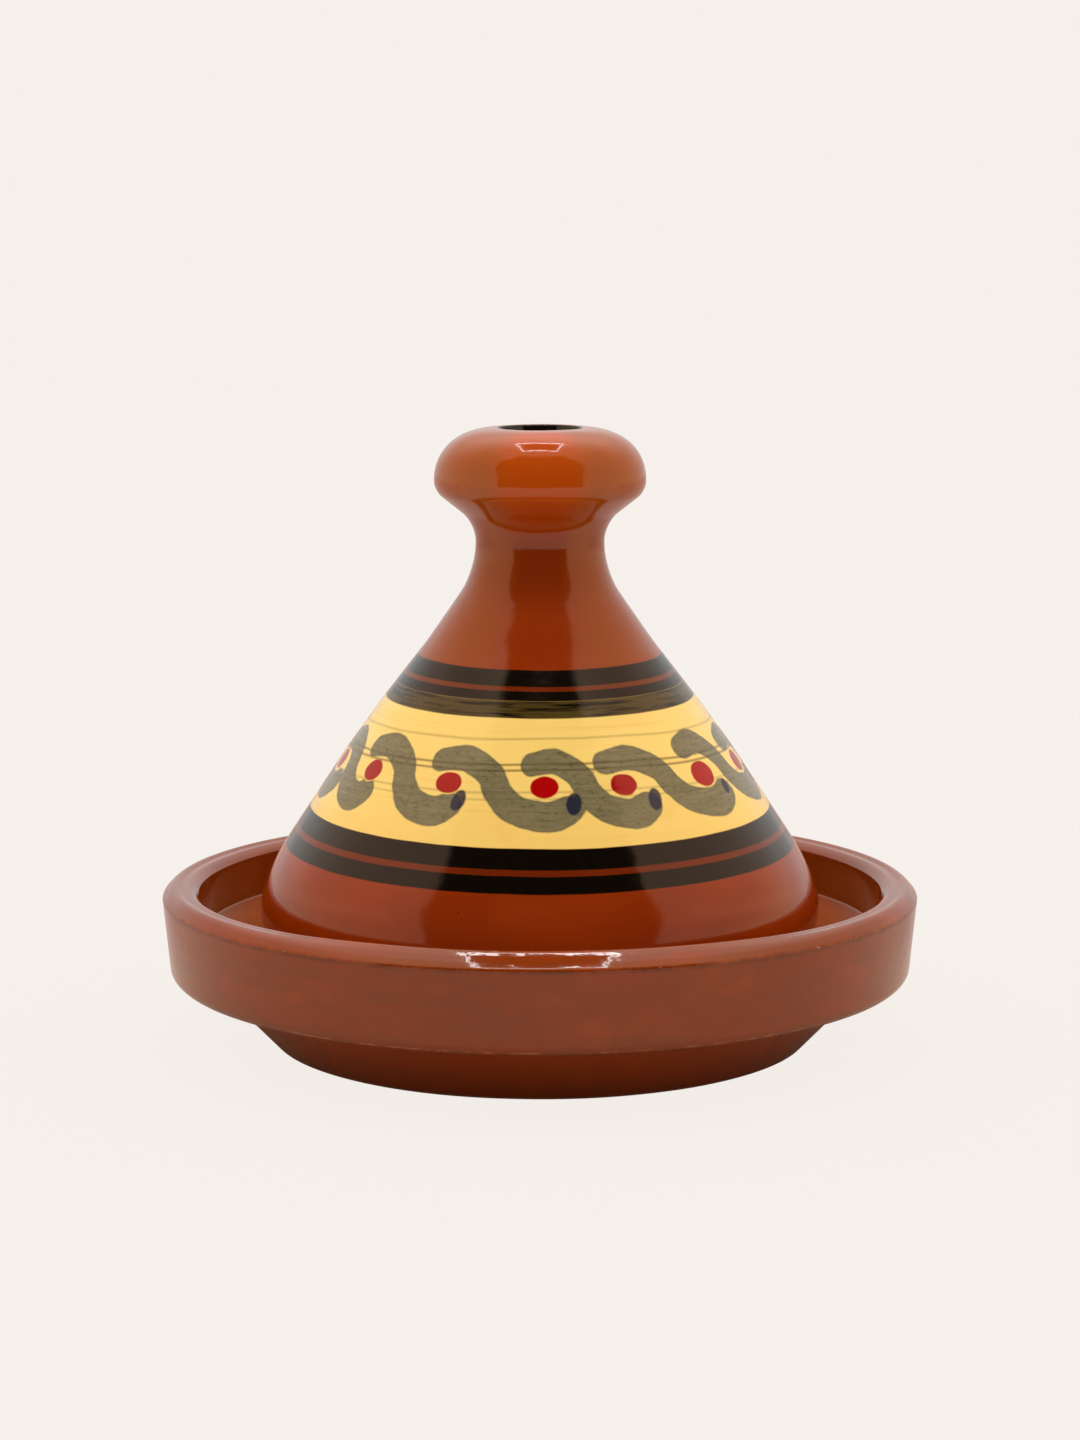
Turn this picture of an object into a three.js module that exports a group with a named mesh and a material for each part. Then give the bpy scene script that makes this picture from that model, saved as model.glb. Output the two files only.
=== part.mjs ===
import * as THREE from "three";

// A tagine in millimetres, +Z up. It stands on z = 0, and its turning axis is the Z axis.
// It is two thrown pieces of glazed earthenware: a low dish with a heavy rim, and a cone lid, thrown in one
// with its knob, that rests on a ledge inside the dish and lifts straight off.

// Lid: heights run up from its own foot
const LID_FOOT_DIAMETER = 190.6; // outside of the ring that the lid stands on
const LID_FOOT_WIDTH = 8.5;
const CONE_FOOT_DIAMETER = 212.3; // where the cone's line would end, outside the turn of the skirt
const CONE_FOOT_HEIGHT = 14;
const CONE_HEIGHT = 118; // from there to where the cone's line meets the neck's
const SKIRT_HEIGHT = 38; // the skirt's curve leaves the foot and joins the cone here
const CONE_SWELL = 1.4; // how far the cone's side stands out of that line
const CONE_SWELL_HEIGHT = 70; // where it stands out most
const NECK_DIAMETER = 45.8;
const NECK_HEIGHT = 15.7;
const KNOB_FLARE_HEIGHT = 14.1; // the slope from the neck out to the knob's edge
const KNOB_DIAMETER = 75.4;
const KNOB_CHEEK_HEIGHT = 1.25; // the upright stretch at the knob's edge
const KNOB_CROWN_HEIGHT = 19; // the dome above it
const WELL_DIAMETER = 29.6; // the open hollow in the knob, at its mouth
const WELL_DEPTH = 38;
const WELL_LIP = 0.7; // the narrow flat round the mouth
const WELL_NECK_WALL = 10.9; // clay between the neck's face and the foot of the well
const CLAY_UNDER_WELL = 18; // solid clay between the well and the hollow below it
const LID_WALL = 7; // measured square to the cone's line

// Dish: heights run up from the table
const BASE_THICKNESS = 10;
const BOWL_DEPTH = 26; // from the lid's ledge down to the bowl's floor
const BOWL_WALL_RUN = 10; // how far the bowl's wall slopes in from the ledge to the floor
const LEDGE_MARGIN = 3; // ledge that shows inside the lid's foot
const LEDGE_PLAY = 3.5; // ledge that shows outside the lid's skirt
const MOAT_WIDTH = 23; // between the lid's skirt and the rim's inner edge
const MOAT_RISE = 7; // how much the moat's floor climbs from the ledge to the rim's wall
const MOAT_WALL_LEAN = 1; // how far the rim's inner wall slopes in to the moat
const RIM_RISE = 20.6; // from the ledge up to the rim's crest
const RIM_WIDTH = 13.5;
const RIM_SLOPE_WIDTH = 5; // the slope from the crest down to the rim's inner edge
const RIM_SLOPE_FALL = 3.4;
const OUTER_WALL_LEAN = 3.4; // how far the outer wall draws in from the rim to its lower edge
const OVERHANG_WIDTH = 16; // the underside of the outer wall, out to its lower edge
const OVERHANG_RISE = 2.2;
const FOOT_HEIGHT = 22; // from the table to the overhang
const FOOT_FLARE = 20.9; // how far the foot opens out over that height
const SEAT_GAP = 0.3; // clearance under the lid's foot

// Roundings, as radii
const LID_FOOT_OUTER_ROUND = 3;
const LID_FOOT_INNER_ROUND = 2;
const CONE_SWELL_ROUND = 300;
const NECK_BASE_ROUND = 38;
const NECK_TOP_ROUND = 14;
const KNOB_EDGE_ROUND = 5.2;
const WELL_MOUTH_ROUND = 1.2;
const WELL_FLOOR_ROUND = 9;
const HOLLOW_TOP_ROUND = 12;
const DISH_FOOT_ROUND = 3;
const OVERHANG_ROUND = 6;
const OUTER_EDGE_ROUND = 3;
const RIM_OUTER_ROUND = 5;
const RIM_CREST_ROUND = 5;
const RIM_INNER_ROUND = 0.8;
const MOAT_ROUND = 4;
const LEDGE_ROUND = 4;
const BOWL_ROUND = 22;

// Fineness of the turned surfaces
const TURN_STEPS = 60;
const ARC_STEP = THREE.MathUtils.degToRad(20);
const CURVE_STEPS = 6;
const LEAST_STEP = 0.1; // points nearer than this are one

// The points of an outline in radius and height. Each corner is [radius, height, rounding]: it is sharp with
// no rounding, and otherwise a tangent arc, which gives way where two arcs would share more than their side.
function turnedOutline(corners) {
  const at = corners.map(([radius, height]) => new THREE.Vector2(radius, height));
  const halfAngle = (i) => at[i - 1].clone().sub(at[i]).angleTo(at[i + 1].clone().sub(at[i])) / 2;
  const wanted = corners.map(([, , rounding], i) => (rounding ? rounding / Math.tan(halfAngle(i)) : 0));
  const share = (i) => Math.min(1, at[i].distanceTo(at[i + 1]) / (wanted[i] + wanted[i + 1]));

  const points = corners.flatMap((corner, i) => {
    if (!wanted[i]) return [at[i]];
    const reach = wanted[i] * Math.min(share(i - 1), share(i));
    const towardsLast = at[i - 1].clone().sub(at[i]).normalize();
    const towardsNext = at[i + 1].clone().sub(at[i]).normalize();
    const start = at[i].clone().addScaledVector(towardsLast, reach);
    const inward = towardsLast.clone().add(towardsNext).normalize();
    const centre = at[i].clone().addScaledVector(inward, reach / Math.cos(halfAngle(i)));
    const sweep = Math.sign(towardsNext.cross(towardsLast)) * (Math.PI - 2 * halfAngle(i));
    const steps = Math.ceil(Math.abs(sweep) / ARC_STEP);
    return Array.from({ length: steps + 1 }, (_, k) =>
      start.clone().rotateAround(centre, (sweep * k) / steps),
    );
  });
  return points.filter((point, i) => i === 0 || point.distanceTo(points[i - 1]) > LEAST_STEP);
}

// The points of a curve as sharp corners of an outline.
function curveCorners(curve) {
  return curve.getPoints(CURVE_STEPS).map((point) => point.toArray());
}

// The lid's outline: hollow, foot, skirt, cone, neck, knob and the well in the knob.
function lidOutline() {
  const footRadius = LID_FOOT_DIAMETER / 2;
  const coneFootRadius = CONE_FOOT_DIAMETER / 2;
  const neckRadius = NECK_DIAMETER / 2;
  const knobRadius = KNOB_DIAMETER / 2;
  const wellRadius = WELL_DIAMETER / 2;
  const neckBase = CONE_FOOT_HEIGHT + CONE_HEIGHT;
  const neckTop = neckBase + NECK_HEIGHT;
  const knobEdge = neckTop + KNOB_FLARE_HEIGHT;
  const crownBase = knobEdge + KNOB_CHEEK_HEIGHT;
  const lidTop = crownBase + KNOB_CROWN_HEIGHT;
  const wellFloor = lidTop - WELL_DEPTH;
  const hollowTop = wellFloor - CLAY_UNDER_WELL;

  // The hollow's side is the cone's line moved in by the wall, and so is the inside of the skirt.
  const slope = (coneFootRadius - neckRadius) / CONE_HEIGHT;
  const wallAcross = LID_WALL * Math.hypot(1, slope);
  const coneRadius = (height) => coneFootRadius - slope * (height - CONE_FOOT_HEIGHT);
  const skirt = (foot, inset) =>
    new THREE.QuadraticBezierCurve(
      new THREE.Vector2(foot, 0),
      new THREE.Vector2(coneFootRadius - inset, CONE_FOOT_HEIGHT),
      new THREE.Vector2(coneRadius(SKIRT_HEIGHT) - inset, SKIRT_HEIGHT),
    );
  const [footInner, ...insideOfSkirt] = curveCorners(skirt(footRadius - LID_FOOT_WIDTH, wallAcross));
  const [footOuter, ...outsideOfSkirt] = curveCorners(skirt(footRadius, 0));

  const crownCentre = wellRadius + WELL_LIP;
  const crownWidth = knobRadius - crownCentre;
  const crown = new THREE.EllipseCurve(
    crownCentre,
    crownBase,
    crownWidth,
    KNOB_CROWN_HEIGHT,
    0,
    Math.PI / 2,
  );
  return turnedOutline([
    [0, hollowTop],
    [coneRadius(hollowTop) - wallAcross, hollowTop, HOLLOW_TOP_ROUND],
    ...insideOfSkirt.reverse(),
    [...footInner, LID_FOOT_INNER_ROUND],
    [...footOuter, LID_FOOT_OUTER_ROUND],
    ...outsideOfSkirt,
    [coneRadius(CONE_SWELL_HEIGHT) + CONE_SWELL, CONE_SWELL_HEIGHT, CONE_SWELL_ROUND],
    [neckRadius, neckBase, NECK_BASE_ROUND],
    [neckRadius, neckTop, NECK_TOP_ROUND],
    [knobRadius, knobEdge, KNOB_EDGE_ROUND],
    ...curveCorners(crown),
    [wellRadius, lidTop, WELL_MOUTH_ROUND],
    [neckRadius - WELL_NECK_WALL, wellFloor, WELL_FLOOR_ROUND],
    [0, wellFloor],
  ]);
}

// The dish's outline: base, foot, overhang, outer wall, rim, moat, ledge and bowl. It is made to the lid.
function dishOutline(lidRadius, seatHeight) {
  const rimHeight = seatHeight + RIM_RISE;
  const rimInner = lidRadius + MOAT_WIDTH;
  const rimOuter = rimInner + RIM_WIDTH;
  const outerEdge = rimOuter - OUTER_WALL_LEAN;
  const overhangInner = outerEdge - OVERHANG_WIDTH;
  const ledgeInner = LID_FOOT_DIAMETER / 2 - LID_FOOT_WIDTH - LEDGE_MARGIN;
  return turnedOutline([
    [0, 0],
    [overhangInner - FOOT_FLARE, 0, DISH_FOOT_ROUND],
    [overhangInner, FOOT_HEIGHT, OVERHANG_ROUND],
    [outerEdge, FOOT_HEIGHT + OVERHANG_RISE, OUTER_EDGE_ROUND],
    [rimOuter, rimHeight, RIM_OUTER_ROUND],
    [rimInner + RIM_SLOPE_WIDTH, rimHeight, RIM_CREST_ROUND],
    [rimInner, rimHeight - RIM_SLOPE_FALL, RIM_INNER_ROUND],
    [rimInner - MOAT_WALL_LEAN, seatHeight + MOAT_RISE, MOAT_ROUND],
    [lidRadius + LEDGE_PLAY, seatHeight, LEDGE_ROUND],
    [ledgeInner, seatHeight, LEDGE_ROUND],
    [ledgeInner - BOWL_WALL_RUN, BASE_THICKNESS, BOWL_ROUND],
    [0, BASE_THICKNESS],
  ]);
}

// A piece turned round the Z axis from an outline that starts and ends on that axis.
function turnedPiece(name, outline, material) {
  const geometry = new THREE.LatheGeometry(outline, TURN_STEPS).rotateX(Math.PI / 2);
  const piece = new THREE.Mesh(geometry, material);
  piece.name = name;
  return piece;
}

// Amber glaze over red clay: satin on the dish, glossy on the lid.
const dishGlaze = new THREE.MeshStandardMaterial({ color: 0x96502f, roughness: 0.35, metalness: 0 });
const lidGlaze = new THREE.MeshStandardMaterial({ color: 0x9c481c, roughness: 0.12, metalness: 0 });

const seatHeight = BASE_THICKNESS + BOWL_DEPTH;
const lidProfile = lidOutline();
const lidRadius = Math.max(...lidProfile.map((point) => point.x));

const lid = turnedPiece("lid", lidProfile, lidGlaze);
lid.position.z = seatHeight + SEAT_GAP;
const dish = turnedPiece("dish", dishOutline(lidRadius, seatHeight), dishGlaze);

const tagine = new THREE.Group();
tagine.add(dish, lid);

export default tagine;
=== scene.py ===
# %% [markdown]
# # A painted earthenware tagine
# A tagine is two thrown pieces of red clay: a low dish with a heavy rim, and a cone lid with a hollow knob
# that stands on a ledge inside it. Both are dipped in a clear amber glaze, and the lid is banded in black and
# cream first, with a running scroll and red dots on the cream.
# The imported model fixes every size. Each piece here is turned again much finer, stands in the same place, and
# gets its hand-made surface, its painting and its glaze.

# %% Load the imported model
import math
import random

import bmesh
import bpy
import numpy as np
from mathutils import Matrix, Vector


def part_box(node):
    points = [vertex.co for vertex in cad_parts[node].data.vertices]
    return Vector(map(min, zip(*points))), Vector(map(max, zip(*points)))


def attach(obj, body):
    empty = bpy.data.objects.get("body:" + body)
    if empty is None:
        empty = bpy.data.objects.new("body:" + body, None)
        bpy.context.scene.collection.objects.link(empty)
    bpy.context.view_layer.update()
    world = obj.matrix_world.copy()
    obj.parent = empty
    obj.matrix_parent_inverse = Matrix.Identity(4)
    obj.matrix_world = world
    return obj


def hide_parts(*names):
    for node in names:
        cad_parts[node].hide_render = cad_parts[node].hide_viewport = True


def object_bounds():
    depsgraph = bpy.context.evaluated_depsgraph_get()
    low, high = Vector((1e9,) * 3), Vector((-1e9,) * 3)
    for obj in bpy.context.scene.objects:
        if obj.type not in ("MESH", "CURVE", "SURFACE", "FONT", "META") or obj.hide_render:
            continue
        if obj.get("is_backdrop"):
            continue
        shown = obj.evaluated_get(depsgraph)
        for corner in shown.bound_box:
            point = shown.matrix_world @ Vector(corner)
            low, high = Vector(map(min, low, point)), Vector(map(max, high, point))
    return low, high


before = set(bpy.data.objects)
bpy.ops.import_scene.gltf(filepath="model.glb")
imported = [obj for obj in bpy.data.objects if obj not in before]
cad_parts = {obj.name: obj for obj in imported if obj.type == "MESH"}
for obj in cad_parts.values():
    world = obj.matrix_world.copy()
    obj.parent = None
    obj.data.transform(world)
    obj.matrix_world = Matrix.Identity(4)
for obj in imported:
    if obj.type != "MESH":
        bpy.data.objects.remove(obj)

MM = 0.001  # scene units are metres, and the sizes below are millimetres
cad_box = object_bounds()
lid_low, lid_high = (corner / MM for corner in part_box("lid"))
dish_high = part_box("dish")[1] / MM
print(f"dish {2 * dish_high.x:.1f} mm across, {dish_high.z:.1f} high; the lid stands at {lid_low.z:.1f}")

# %% [markdown]
# ## The camera
# The photograph was taken from straight in front and a little above, with a long lens. Fitting circles to the
# rim, the foot and the painted bands gives the distance, the height and the tilt, so the camera is put there
# and needs no shift.

# %% Camera
CAMERA_DISTANCE = 1150  # in front of the turning axis
CAMERA_HEIGHT = 283.4
CAMERA_TILT = 8.365  # degrees below level
LENS = 81.15
SENSOR = 36

bpy.ops.object.select_all(action="DESELECT")
bpy.ops.object.camera_add(
    location=(0, -CAMERA_DISTANCE * MM, CAMERA_HEIGHT * MM),
    rotation=(math.radians(90 - CAMERA_TILT), 0, 0),
)
camera = bpy.context.object
camera.data.lens = LENS
camera.data.sensor_width = SENSOR
bpy.context.scene.camera = camera
print("camera at", [round(x, 3) for x in camera.location])

# %% [markdown]
# ## A bench for node trees
# Materials and the studio light are both node trees. A small helper adds a node, fills its sockets with
# numbers or wires, and hands back the output, so that each recipe below reads as a list of steps.

# %% Node bench
class Bench:
    """Adds nodes to a tree. An input is a number, a colour or another node's output."""

    def __init__(self, tree):
        self.tree = tree

    def node(self, kind, inputs=None, **settings):
        made = self.tree.nodes.new(kind)
        for name, value in settings.items():
            setattr(made, name, value)
        for key, value in (inputs or {}).items():
            self.feed(made.inputs[key], value)
        return made

    def feed(self, socket, value):
        if isinstance(value, bpy.types.NodeSocket):
            self.tree.links.new(value, socket)
        else:
            socket.default_value = value

    def math(self, operation, *values):
        return self.node("ShaderNodeMath", dict(enumerate(values)), operation=operation).outputs[0]

    def times(self, first, second):
        return self.math("MULTIPLY", first, second)

    def inverse(self, share):
        """1 where the share is 0, and 0 where it is 1."""
        return self.math("SUBTRACT", 1.0, share)

    def step(self, value, low, high):
        """Goes smoothly from 0 at low to 1 at high."""
        inputs = {"Value": value, "From Min": low, "From Max": high}
        return self.node("ShaderNodeMapRange", inputs, interpolation_type="SMOOTHSTEP").outputs["Result"]

    def spread(self, value, low, high):
        """Stretches a value of 0 to 1 to run from low to high."""
        inputs = {"Value": value, "To Min": low, "To Max": high}
        return self.node("ShaderNodeMapRange", inputs).outputs["Result"]

    def mix(self, share, first, second):
        """The first colour where share is 0, the second where it is 1."""
        made = self.node("ShaderNodeMix", {0: share, 6: first, 7: second}, data_type="RGBA")
        return made.outputs[2]

    def noise(self, place, stretch, detail, roughness):
        """Cloudy values around 0.5. stretch is how many clouds fit in a metre, along X, Y and Z."""
        fitted = self.node("ShaderNodeMapping", {"Vector": place, "Scale": stretch}).outputs[0]
        inputs = {"Vector": fitted, "Scale": 1.0, "Detail": detail, "Roughness": roughness}
        return self.node("ShaderNodeTexNoise", inputs).outputs["Fac"]

    def clouds(self, place, stretch, detail, roughness, low, high):
        """The same, made 0 where it is below low and 1 where it is above high."""
        return self.step(self.noise(place, stretch, detail, roughness), low, high)

    def kept(self, name):
        """The number that every vertex keeps under this name."""
        return self.node("ShaderNodeAttribute", attribute_name=name).outputs["Fac"]

    def millimetres(self, place):
        """A place as X, Y, height and distance from the turning axis."""
        axes = self.node("ShaderNodeSeparateXYZ", {0: place}).outputs
        x, y, z = (self.math("DIVIDE", axis, MM) for axis in axes)
        return x, y, z, self.math("SQRT", self.math("ADD", self.times(x, x), self.times(y, y)))


def colour(red, green, blue):
    return (red, green, blue, 1.0)


print("bench ready")

# %% [markdown]
# ## The studio
# The tagine stands in a photographer's light tent: pale walls, a bright roof, a lamp in a square frame round
# the hole in that roof, and an opening in front, where the camera is. The glaze mirrors all of it. The dark
# opening is the upright window on the cone, and the knob and the rim show the lamp as thin white lines. The
# tent could be built from panels, but in a world the floor and the backdrop keep one pale colour, the light
# on the clay stays soft, and only the gloss sees the tent.

# %% Tent
BACKDROP = colour(0.9216, 0.8714, 0.8308)
SKY_LOW = 0.50  # soft light from the horizon
SKY_HIGH = 2.45  # and from overhead
OPENING_LIGHT = 0.45  # the opening still lets some light through to the front
OPENING_FOOT = math.radians(47.5)  # how far the opening reaches to each side, low down
OPENING_WAIST = math.radians(57)  # half way up, where it is widest
OPENING_TOP = math.radians(50)
OPENING_SOFT = math.radians(1.4)  # its edge is crisp
OPENING_TOP_SOFT = math.radians(6)  # and soft at the top
BACK_WALL = (math.radians(100), math.radians(160))  # where the walls at the sides turn into the one behind
# levels in the tent, from 0 at the horizon to 1 overhead
OPENING_WIDENS = (0.20, 0.65)
OPENING_NARROWS = (0.78, 0.88)
OPENING_ENDS = (0.92, 0.96)
SIDE_RISES = (0.02, 0.35)
SIDE_ROOF = (0.75, 0.92)
BACK_RISES = (0.08, 0.25)
BACK_ROOF = (0.45, 0.80)
# what the glaze sees
OPENING_GLOSS = colour(0.012, 0.009, 0.006)
SIDE_LOW_GLOSS = colour(1.00, 0.80, 0.52)  # at the foot of the walls at the sides
SIDE_GLOSS = colour(0.95, 0.62, 0.43)  # further up those walls
SIDE_ROOF_GLOSS = colour(1.25, 0.90, 0.60)  # in the roof above them
BACK_LOW_GLOSS = colour(0.72, 0.70, 0.70)  # at the foot of the wall behind
BACK_GLOSS = colour(0.85, 0.85, 0.82)  # further up that wall
BACK_ROOF_GLOSS = colour(1.75, 1.45, 1.30)  # and in the roof above it


def light_the_studio():
    world = bpy.data.worlds.new("studio")
    world.use_nodes = True
    world.cycles.sampling_method = "NONE"  # the sky is soft, so it needs no extra samples
    bench = Bench(world.node_tree)
    direction = bench.node("ShaderNodeTexCoord").outputs["Generated"]
    x, y, z = bench.node("ShaderNodeSeparateXYZ", {0: direction}).outputs
    sideways = bench.math("ABSOLUTE", bench.math("ARCTAN2", x, bench.times(y, -1.0)))
    top = bench.step(z, *OPENING_NARROWS)
    waist = bench.spread(bench.step(z, *OPENING_WIDENS), OPENING_FOOT, OPENING_WAIST)
    half = bench.math("SUBTRACT", waist, bench.spread(top, 0.0, OPENING_WAIST - OPENING_TOP))
    soft = bench.spread(top, OPENING_SOFT, OPENING_TOP_SOFT)
    past = bench.math("DIVIDE", bench.math("SUBTRACT", sideways, half), soft)
    surround = bench.step(past, -1.0, 1.0)
    sky = bench.spread(bench.math("MAXIMUM", z, 0.0), SKY_LOW, SKY_HIGH)
    sky = bench.times(bench.spread(surround, OPENING_LIGHT, 1.0), sky)
    side = bench.mix(bench.step(z, *SIDE_RISES), SIDE_LOW_GLOSS, SIDE_GLOSS)
    side = bench.mix(bench.step(z, *SIDE_ROOF), side, SIDE_ROOF_GLOSS)
    back = bench.mix(bench.step(z, *BACK_RISES), BACK_LOW_GLOSS, BACK_GLOSS)
    back = bench.mix(bench.step(z, *BACK_ROOF), back, BACK_ROOF_GLOSS)
    gloss = bench.mix(bench.step(sideways, *BACK_WALL), side, back)
    tent = bench.math("MAXIMUM", surround, bench.step(z, *OPENING_ENDS))
    gloss = bench.mix(tent, OPENING_GLOSS, gloss)
    rays = bench.node("ShaderNodeLightPath").outputs
    light = bench.mix(rays["Is Glossy Ray"], sky, gloss)
    background = world.node_tree.nodes["Background"]
    bench.feed(background.inputs["Color"], bench.mix(rays["Is Camera Ray"], light, BACKDROP))
    return world


bpy.context.scene.world = light_the_studio()
bpy.context.scene.view_settings.view_transform = "Standard"
print(f"tent: {len(bpy.context.scene.world.node_tree.nodes)} nodes")

# %% Floor
FLOOR_RADIUS = 5.0  # the studio's own sizes are in metres
FLOOR_SIDES = 128
FLOOR_DROP = 0.0002
FLOOR_COLOUR = colour(0.640, 0.605, 0.577)
FLOOR_GLOSS = colour(0.60, 0.50, 0.39)  # the glaze sees a warmer floor
FLOOR_BEHIND_GLOSS = colour(0.46, 0.36, 0.32)  # a dimmer one behind the dish
FLOOR_BEHIND = (0.0, 0.15)
FLOOR_SHADE = colour(0.42, 0.33, 0.23)  # and a dark one under it
FLOOR_SHADE_REACH = (0.105, 0.138)
FLOOR_EVEN = 0.96  # how much of the shadow the pale paper takes away
PAPER_ROUGHNESS = 0.9


def lay_the_floor():
    bpy.ops.object.select_all(action="DESELECT")
    bpy.ops.mesh.primitive_circle_add(
        vertices=FLOOR_SIDES, radius=FLOOR_RADIUS, fill_type="NGON", location=(0, 0, -FLOOR_DROP)
    )
    floor = bpy.context.object
    floor.name = "floor"
    material = bpy.data.materials.new("floor paper")
    material.use_nodes = True
    bench = Bench(material.node_tree)
    paper = material.node_tree.nodes["Principled BSDF"]
    paper.inputs["Roughness"].default_value = PAPER_ROUGHNESS
    paper.inputs["Specular IOR Level"].default_value = 0.0
    rays = bench.node("ShaderNodeLightPath").outputs
    place = bench.node("ShaderNodeTexCoord").outputs["Object"]
    reach = bench.node("ShaderNodeVectorMath", {0: place}, operation="LENGTH").outputs["Value"]
    behind = bench.node("ShaderNodeSeparateXYZ", {0: place}).outputs["Y"]
    mirrored = bench.mix(bench.step(behind, *FLOOR_BEHIND), FLOOR_GLOSS, FLOOR_BEHIND_GLOSS)
    mirrored = bench.mix(bench.step(reach, *FLOOR_SHADE_REACH), FLOOR_SHADE, mirrored)
    bench.feed(paper.inputs["Base Color"], bench.mix(rays["Is Glossy Ray"], FLOOR_COLOUR, mirrored))
    even = bench.node("ShaderNodeEmission", {"Color": BACKDROP}).outputs[0]
    share = bench.times(rays["Is Camera Ray"], FLOOR_EVEN)
    blend = bench.node("ShaderNodeMixShader", {0: share, 1: paper.outputs[0], 2: even}).outputs[0]
    bench.feed(material.node_tree.nodes["Material Output"].inputs["Surface"], blend)
    floor.data.materials.append(material)
    floor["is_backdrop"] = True


lay_the_floor()
print(f"floor: {2 * FLOOR_RADIUS:.0f} m across")

# %% Lamp
LAMP_PLACE = (0, 0.22, 1.5)  # a little behind the tagine
LAMP_WIDTH = 0.52
LAMP_DEPTH = 0.60
LAMP_BAR = 0.03  # how broad the bars in front and behind are
LAMP_SIDE_BAR = 0.013
LAMP_STRENGTH = 20.0
LAMP_HOLE_STRENGTH = 0.05


def glowing(name, strength):
    material = bpy.data.materials.new(name)
    material.use_nodes = True
    bench = Bench(material.node_tree)
    glow = bench.node("ShaderNodeEmission", {"Strength": strength}).outputs[0]
    bench.feed(material.node_tree.nodes["Material Output"].inputs["Surface"], glow)
    return material


def hang_the_lamp():
    """Four bright bars in a square round the roof's dim hole, which only the gloss sees."""
    bpy.ops.object.select_all(action="DESELECT")
    bpy.ops.mesh.primitive_plane_add(size=1, location=LAMP_PLACE)
    lamp = bpy.context.object
    lamp.name = "lamp frame"
    bpy.ops.object.mode_set(mode="EDIT")
    bpy.ops.mesh.select_all(action="SELECT")
    bpy.ops.transform.resize(value=(LAMP_WIDTH, LAMP_DEPTH, 1))
    bpy.ops.mesh.inset(thickness=LAMP_BAR)
    widen = (LAMP_WIDTH - 2 * LAMP_SIDE_BAR) / (LAMP_WIDTH - 2 * LAMP_BAR)
    bpy.ops.transform.resize(value=(widen, 1, 1))
    bpy.ops.object.mode_set(mode="OBJECT")
    lamp.data.materials.append(glowing("lamp light", LAMP_STRENGTH))
    lamp.data.materials.append(glowing("roof hole", LAMP_HOLE_STRENGTH))
    hole = min(lamp.data.polygons, key=lambda face: face.center.length)
    hole.material_index = 1
    lamp.visible_camera = False
    lamp.visible_diffuse = False
    lamp.visible_shadow = False
    lamp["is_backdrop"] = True


hang_the_lamp()
print(f"lamp frame: {LAMP_WIDTH} by {LAMP_DEPTH} m")

# %% [markdown]
# ## Turning a piece
# A potter turns a piece against the wheel, and here an outline is spun round the Z axis instead. One vertex
# is extruded from corner to corner, the corners are bevelled to their roundings, long stretches are
# subdivided so that the skin can be shaped later, and the spin makes the piece. A curve could be spun too,
# but drawing with extrude keeps every size in view.

# %% Outline helpers
ROUND_STEP = math.radians(6)  # the turn from one edge of a rounding to the next
WELD = 1e-6  # points nearer than this, in metres, are one


def choose(piece, kind, test):
    """Selects the vertices or edges of the piece being edited that pass the test, and says how many."""
    bpy.ops.mesh.select_all(action="DESELECT")
    mesh = bmesh.from_edit_mesh(piece.data)
    chosen = [part for part in getattr(mesh, kind) if test(part)]
    for part in chosen:
        part.select_set(True)
    mesh.select_flush_mode()
    bmesh.update_edit_mesh(piece.data)
    return len(chosen)


def on_outline(corner):
    return Vector((corner[0], 0, corner[1])) * MM


def draw_outline(name, corners):
    """An open outline in the X-Z plane. A corner is (radius, height, rounding), in millimetres."""
    bpy.ops.object.select_all(action="DESELECT")
    bpy.ops.mesh.primitive_plane_add(size=MM, location=on_outline(corners[0]))
    bpy.ops.object.transform_apply(location=True, rotation=False, scale=False)
    piece = bpy.context.object
    piece.name = name
    bpy.ops.object.mode_set(mode="EDIT")
    bpy.ops.mesh.select_all(action="SELECT")
    bpy.ops.mesh.merge(type="CENTER")
    for here, there in zip(corners, corners[1:]):
        move = on_outline(there) - on_outline(here)
        bpy.ops.mesh.extrude_vertices_move(TRANSFORM_OT_translate={"value": move})
    bpy.ops.mesh.select_mode(type="VERT")
    for before, corner, after in zip(corners, corners[1:], corners[2:]):
        if corner[2]:
            round_corner(piece, before, corner, after)
    return piece


def round_corner(piece, before, corner, after):
    here = on_outline(corner)
    inside = (on_outline(before) - here).angle(on_outline(after) - here)
    choose(piece, "verts", lambda vertex: (vertex.co - here).length < WELD)
    bpy.ops.mesh.bevel(
        offset_type="OFFSET",
        offset=corner[2] * MM / math.tan(inside / 2),
        segments=max(2, round((math.pi - inside) / ROUND_STEP)),
        affect="VERTICES",
        clamp_overlap=True,
    )


def refine(piece, longest, test=lambda middle: True):
    """Halves the outline's stretches, where their middle passes the test, until none is longer than this."""
    def too_long(edge):
        middle = (edge.verts[0].co + edge.verts[1].co) / 2 / MM
        return edge.calc_length() > longest * MM and test(middle)

    while choose(piece, "edges", too_long):
        bpy.ops.mesh.subdivide(number_cuts=1)


print("outline helpers ready")

# %% Skin helpers
TURN_STEPS = 360


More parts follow.
